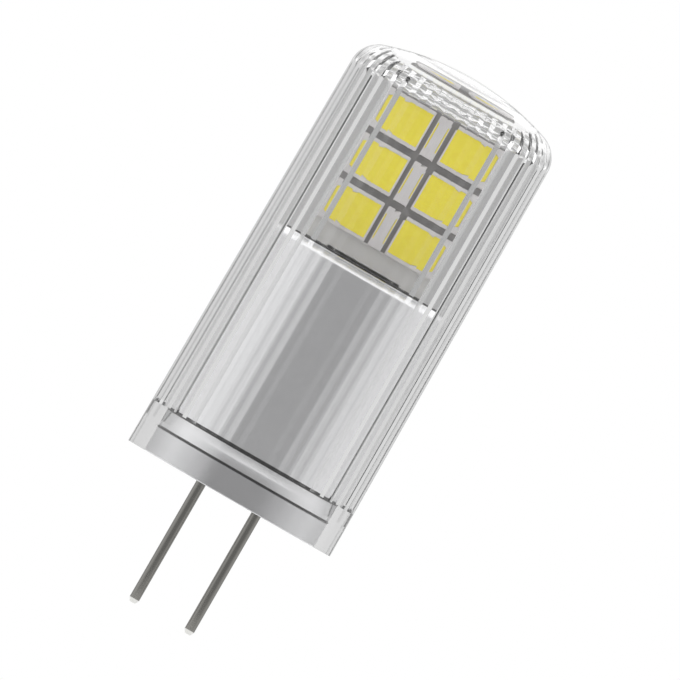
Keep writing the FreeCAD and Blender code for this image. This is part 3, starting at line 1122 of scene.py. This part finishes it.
@dataclass
class LightBoard:
    """Coated board with two columns of packages on each face."""

    board_finish: BoardCoat
    package_finish: Speckled
    phosphor_finish: Speckled
    half: float = 0.4
    side: float = 3.9
    foot: float = 16.77
    top: float = 27.67
    tab: Pair = (2.5, 13.57)
    tab_overlap: float = 0.2
    broken_edge: float = 0.05
    package: tuple[float, float, float] = (3.5, 2.8, 0.7)
    frame: Pair = (0.365, 0.225)
    well: float = 0.45
    corner: float = 0.3
    polarity: float = 0.35
    nick: float = 0.05
    worn_edge: float = 0.03
    worn_angle: float = 1.0
    filling_gap: float = 0.01
    filling_drop: float = 0.02
    dish: tuple[Pair, ...] = ((0.10, 0.022), (0.15, 0.016), (0.20, 0.008))
    first_row: float = 18.20
    row_pitch: float = 3.27
    column: float = 2.06
    rows: int = 3

    def board(self, material: Material) -> Object:
        """Makes the plate and its tab, with lightly broken edges.

        Args:
            material: its finish.

        Returns:
            The board.
        """
        bm = bmesh.new()
        wide, deep = self.side, self.half
        tab_half, tab_foot = self.tab
        tab_head = self.foot + self.tab_overlap
        block(bm, (-wide, -deep, self.foot), (wide, deep, self.top))
        long = [e for e in bm.edges if e.calc_length() > 2 * deep + SLACK]
        soften(bm, long, self.broken_edge)
        block(bm, (-tab_half, -deep, tab_foot), (tab_half, deep, tab_head))
        return piece(bm, "coated_board", material, ("led_board",))

    def outline(self, wide: float, high: float, cuts: tuple[float, ...]) -> Profile:
        """Rectangle with its corners cut.

        Args:
            wide: half its width.
            high: half its height.
            cuts: the cut of each corner, from the lower left towards the right.

        Returns:
            Its corner points in order.
        """
        corners = [(-wide, -high), (wide, -high), (wide, high), (-wide, high)]
        ways = [(1, 0), (0, 1), (-1, 0), (0, -1)]
        points: Profile = []
        for number, ((x, y), cut) in enumerate(zip(corners, cuts)):
            before, after = ways[number - 1], ways[number]
            points.append((x - before[0] * cut, y - before[1] * cut))
            points.append((x + after[0] * cut, y + after[1] * cut))
        return points

    def opening(self, gap: float) -> Profile:
        """Outline of the well.

        Args:
            gap: how far inside the well's wall it runs.

        Returns:
            Its corner points in order.
        """
        side, end = self.frame
        wide, high = self.package[0] / 2 - side - gap, self.package[1] / 2 - end - gap
        return self.outline(wide, high, (self.corner,) * 4)

    def package_mesh(self) -> BMesh:
        """Moulds a frame round an open well, with a corner cut for its polarity.

        Returns:
            Its mesh, flat on the plane of x and y.
        """
        bm = bmesh.new()
        wide, high, deep = self.package
        cuts = (self.nick, self.nick, self.nick, self.polarity)
        lid = slab(bm, self.outline(wide / 2, high / 2, cuts), 0.0, deep)
        rim = list(lid.edges)
        bmesh.ops.delete(bm, geom=[lid], context="FACES_ONLY")
        lip = [bm.verts.new((x, y, deep)) for x, y in self.opening(0.0)]
        loop = [bm.edges.new(pair) for pair in zip(lip, lip[1:] + lip[:1])]
        bmesh.ops.bridge_loops(bm, edges=rim + loop)
        sunk = bmesh.ops.extrude_edge_only(bm, edges=loop)["geom"]
        floor = [item for item in sunk if isinstance(item, BMVert)]
        bmesh.ops.translate(bm, vec=(0, 0, -self.well), verts=floor)
        bmesh.ops.holes_fill(bm, edges=[e for e in bm.edges if e.is_boundary], sides=0)
        tidy(bm)
        outer = (wide - self.frame[0]) / 2
        worn = [
            e for e in bm.edges
            if all(v.co.z > deep - SLACK for v in e.verts)
            and e.calc_face_angle(0.0) > self.worn_angle
            and max(abs(v.co.x) for v in e.verts) > outer
        ]
        soften(bm, worn, self.worn_edge)
        return bm

    def phosphor_mesh(self) -> BMesh:
        """Fills the well, a little dished towards its middle.

        Returns:
            Its mesh, on the same plane as the package's.
        """
        bm = bmesh.new()
        foot, height = self.package[2] - self.well, self.well - self.filling_drop
        lid = slab(bm, self.opening(self.filling_gap), foot, height)
        for width, dip in self.dish:
            bmesh.ops.inset_individual(bm, faces=[lid], thickness=width, depth=-dip)
        tidy(bm)
        return bm

    def build(self) -> list[Object]:
        """Makes the board, and a package and a filling at every place.

        Returns:
            All of them.
        """
        made = [self.board(self.board_finish.material())]
        package = self.package_finish.material()
        filling = self.phosphor_finish.material()
        upright = Matrix.Rotation(math.pi / 2, 4, "X")
        for side in Side:
            face = Matrix.Rotation(side.value, 4, "Z") @ upright
            lift = -self.half if side is Side.FRONT else self.half
            for row in range(self.rows):
                height = self.first_row + self.package[1] / 2 + row * self.row_pitch
                for hand in Hand:
                    spot = (hand.value * self.column, lift, height)
                    name = f"{side.name}_{hand.name}_{row + 1}".lower()
                    parts = (
                        ("package", self.package_mesh(), package, "led_package"),
                        ("phosphor", self.phosphor_mesh(), filling, "phosphor"),
                    )
                    for kind, bm, material, slot in parts:
                        place = Matrix.Translation(spot) @ face
                        bmesh.ops.transform(bm, matrix=place, verts=bm.verts)
                        nodes = (f"led_{name}_{kind}",)
                        made.append(piece(bm, f"{kind}_{name}", material, nodes))
        return made


@dataclass
class Driver:
    """Driver board and everything soldered to it, inside the sleeve."""

    nodes: dict[str, Object]
    bright: Speckled = Speckled(
        "bright_solder", (0.62, 0.62, 0.63), (0.75, 0.75, 0.76),
        rough=0.25, cells=3.0, relief=0.004, metal=1.0,
    )
    laminate: Speckled = Speckled(
        "green_laminate", (0.02, 0.13, 0.05), (0.035, 0.18, 0.07),
        rough=0.35, cells=1.2, relief=0.002,
    )
    ferrite: Speckled = Speckled(
        "dark_ferrite", (0.045, 0.045, 0.05), (0.075, 0.075, 0.08),
        rough=0.6, cells=4.0, relief=0.01,
    )
    ceramic: Colour = (0.36, 0.25, 0.15)
    black: Colour = (0.03, 0.03, 0.032)
    chip_end: float = 0.5
    moulding_end: float = 0.45

    def dress(self) -> None:
        """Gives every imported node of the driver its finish."""
        solder = self.bright.material()
        finishes = {
            "driver_board": self.laminate.material(),
            "inductor": self.ferrite.material(),
        }
        for joint in ("pin_solder", "tab_solder"):
            for hand in Hand:
                finishes[f"{joint}_{hand.name.lower()}"] = solder
        capacitors = [f"{kind}_capacitor" for kind in ("filter", "input", "output")]
        capped = [(node, self.ceramic, self.chip_end) for node in capacitors]
        for node in ("sense_resistor_1", "sense_resistor_2"):
            capped.append((node, self.black, self.chip_end))
        for node in ("driver_chip", "freewheel_diode", "bridge_rectifier"):
            capped.append((node, self.black, self.moulding_end))
        for node, colour, end in capped:
            low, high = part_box(node)
            middle, half = (low.x + high.x) / 2 / MM, (high.x - low.x) / 2 / MM - end
            finish = EndCapped(f"{node}_finish", colour, middle, half)
            finishes[node] = finish.material()
        for node, material in finishes.items():
            slots = self.nodes[node].data.materials
            slots.clear()
            slots.append(material)
            LOG.info("%s keeps its packed mesh", node)


@dataclass
class Studio:
    """Surroundings that differ by the kind of ray, a soft lamp, a floor and a camera.

    What is seen directly is white. Diffuse light, light through the jacket and
    mirrored light each see their own levels, and what was mirrored many times is
    nearly lost. A rise is where one level gives way to the next, by a direction's
    height from -1 straight down to 1 straight up.
    """

    centre: Pair = (1.07, 12.12)
    width: float = 42.82
    distance: float = 1780.0
    roll: float = 30.0
    sensor: float = 36.0
    clip: Pair = (0.01, 10.0)
    bounces: int = 24
    floor_height: float = -23.0
    floor_radius: float = 100.0
    floor_steps: int = 128
    ambient: float = 1.24
    backdrop: float = 0.30
    sky: float = 1.0
    sky_rise: Pair = (0.03, 0.14)
    glint: float = 1.5
    glint_rise: Pair = (0.14, 0.30)
    overhead: float = 0.62
    overhead_rise: Pair = (0.45, 0.8)
    ground: float = 1.0
    ground_rise: Pair = (0.35, 0.7)
    lost_after: float = 5.0
    lost_level: float = 0.18
    lost_rise: Pair = (0.1, 0.3)
    ramp: tuple[Pair, ...] = (
        (-180.0, 0.66), (-125.0, 0.68), (-105.0, 0.95), (-87.0, 1.12),
        (-60.0, 0.90), (-40.0, 0.68), (-30.0, 0.47), (-26.0, 0.45), (26.0, 0.45),
        (34.0, 0.50), (55.0, 0.68), (78.0, 0.90), (100.0, 0.98), (125.0, 0.72),
        (180.0, 0.66),
    )
    key_place: Point = (-260.0, -220.0, 330.0)
    key_size: float = 260.0
    key_watts: float = 0.35
    key_aim: float = 12.0

    def around_lamp(self, wiring: Wiring, split: Node) -> Socket:
        """Levels round the lamp, by the turn from the camera's side in degrees.

        Args:
            wiring: the world's tree.
            split: the node that parts a ray's direction.

        Returns:
            The level in the ray's direction.
        """
        backward = wiring.calculate("MULTIPLY", split.outputs["Y"], -1.0)
        azimuth = wiring.calculate("ARCTAN2", split.outputs["X"], backward)
        share = wiring.calculate("MULTIPLY_ADD", azimuth, 1 / (2 * math.pi), 0.5)
        ramp = wiring.node("ShaderNodeValToRGB")
        stops = ramp.color_ramp.elements
        ready = len(stops)
        for number, (angle, level) in enumerate(self.ramp):
            at = angle / 360 + 0.5
            stop = stops[number] if number < ready else stops.new(at)
            stop.position = at
            stop.color = (level, level, level, 1)
        wiring.feed(ramp.inputs["Fac"], share)
        return ramp.outputs["Color"]

    def world(self) -> None:
        """Gives every kind of ray its level."""
        world = bpy.data.worlds.new("studio")
        bpy.context.scene.world = world
        world.use_nodes = True
        wiring = Wiring(world.node_tree)
        split = wiring.node("ShaderNodeSeparateXYZ")
        directions = wiring.node("ShaderNodeTexCoord").outputs["Generated"]
        wiring.feed(split.inputs["Vector"], directions)
        up = split.outputs["Z"]
        down = wiring.calculate("MULTIPLY", up, -1.0)
        tilt = wiring.calculate("ABSOLUTE", up)
        around = self.around_lamp(wiring, split)
        level = wiring.mixed(wiring.rise(up, *self.glint_rise), around, self.glint)
        higher = wiring.rise(up, *self.overhead_rise)
        level = wiring.mixed(higher, level, self.overhead)
        level = wiring.mixed(wiring.rise(down, *self.ground_rise), level, self.ground)
        lost = wiring.mixed(wiring.rise(tilt, *self.lost_rise), 0.0, self.lost_level)
        through = wiring.mixed(
            wiring.rise(tilt, *self.sky_rise), self.backdrop, self.sky
        )
        path = wiring.node("ShaderNodeLightPath").outputs
        kinds = (
            ("Transmission Depth", 0.5, through),
            ("Glossy Depth", 0.5, level),
            ("Glossy Depth", self.lost_after + 0.5, lost),
            ("Diffuse Depth", 0.5, self.ambient),
        )
        result: Value = 1.0
        for depth, least, seen in kinds:
            reached = wiring.calculate("GREATER_THAN", path[depth], least)
            result = wiring.mixed(reached, result, seen)
        background = wiring.tree.nodes["Background"]
        wiring.feed(background.inputs["Color"], (1, 1, 1, 1))
        wiring.feed(background.inputs["Strength"], result)

    def key_lamp(self) -> None:
        """Soft square lamp up on the left, which faces the object."""
        light = bpy.data.lights.new("key", "AREA")
        light.size = self.key_size * MM
        light.energy = self.key_watts
        made = placed("key", light)
        made.location = Vector(self.key_place) * MM
        aim = Vector((0, 0, self.key_aim * MM)) - made.location
        made.rotation_euler = aim.to_track_quat("-Z", "Y").to_euler()
        made.visible_glossy = False
        made.visible_transmission = False

    def floor(self) -> None:
        """Pale round floor below the lamp, outside the photograph's frame."""
        bm = bmesh.new()
        bmesh.ops.create_circle(
            bm, cap_ends=True, segments=self.floor_steps, radius=self.floor_radius
        )
        bmesh.ops.translate(bm, vec=(0, 0, self.floor_height), verts=bm.verts)
        mesh = mesh_of(bm, "floor", 30.0)
        pale = Speckled(
            "pale_floor", (0.93, 0.93, 0.93), (0.95, 0.95, 0.95),
            rough=0.8, cells=0.05, relief=0.0,
        )
        mesh.materials.append(pale.material())
        made = placed("floor", mesh)

    def camera(self) -> None:
        """Level, frontal long-lens camera, rolled so that the lamp leans right."""
        data = bpy.data.cameras.new("camera")
        data.sensor_width = self.sensor
        data.lens = self.sensor * self.distance / self.width
        data.clip_start, data.clip_end = self.clip
        made = placed("camera", data)
        turn = math.radians(self.roll)
        right = Vector((math.cos(turn), 0, math.sin(turn)))
        upward = Vector((-math.sin(turn), 0, math.cos(turn)))
        back = Vector((0, -1, 0))
        matrix = Matrix((right, upward, back)).transposed().to_4x4()
        across, height = self.centre
        matrix.translation = Vector((across, -self.distance, height)) * MM
        made.matrix_world = matrix
        bpy.context.scene.camera = made

    def build(self) -> None:
        """Sets the whole studio up."""
        scene = bpy.context.scene
        scene.view_settings.view_transform = "Standard"
        scene.cycles.max_bounces = self.bounces
        scene.cycles.transmission_bounces = self.bounces
        scene.cycles.glossy_bounces = self.bounces
        self.world()
        self.key_lamp()
        self.floor()
        self.camera()


def main() -> None:
    """Builds the lamp piece by piece, then the studio."""
    logging.basicConfig(level=logging.INFO, format="%(name)s: %(message)s")
    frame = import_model()
    # Painted shade on the sleeve, in shadowed gaps: above the base cap, the undercut
    # and under the top.
    sleeve_metal = SatinMetal(
        "silver_sleeve", (0.76, 0.76, 0.77), rough=0.16,
        pale_coat_or_shade_zones=((1.7, 1.83), (2.892, 3.128), (16.64, 16.765)), shade_radius=6.05,
    )
    # Painted shade on the cap: everything above its upper edge, where it lies in shadow
    # under the sleeve.
    base_metal = SatinMetal(
        "silver_base", (0.61, 0.61, 0.62), rough=0.12, pale_coat_or_shade_zones=((1.66, 3.0),)
    )
    package_moulding = Speckled(
        "frame_moulding", (0.69, 0.665, 0.665), (0.73, 0.705, 0.705),
        rough=0.4, cells=1.5, relief=0.002,
    )
    phosphor = Speckled(
        "phosphor_filling", (0.96, 0.80, 0.02), (1.0, 0.87, 0.03),
        rough=0.45, cells=5.0, relief=0.004,
    )
    Jacket(ClearPlastic()).build()
    CoreSleeve(sleeve_metal).build()
    BaseCap(base_metal).build()
    ContactPins(PinWire()).build()
    LightBoard(BoardCoat(), package_moulding, phosphor).build()
    Driver(frame["nodes"]).dress()
    Studio().build()
    LOG.info("boxes written")


if __name__ == "__main__":
    main()
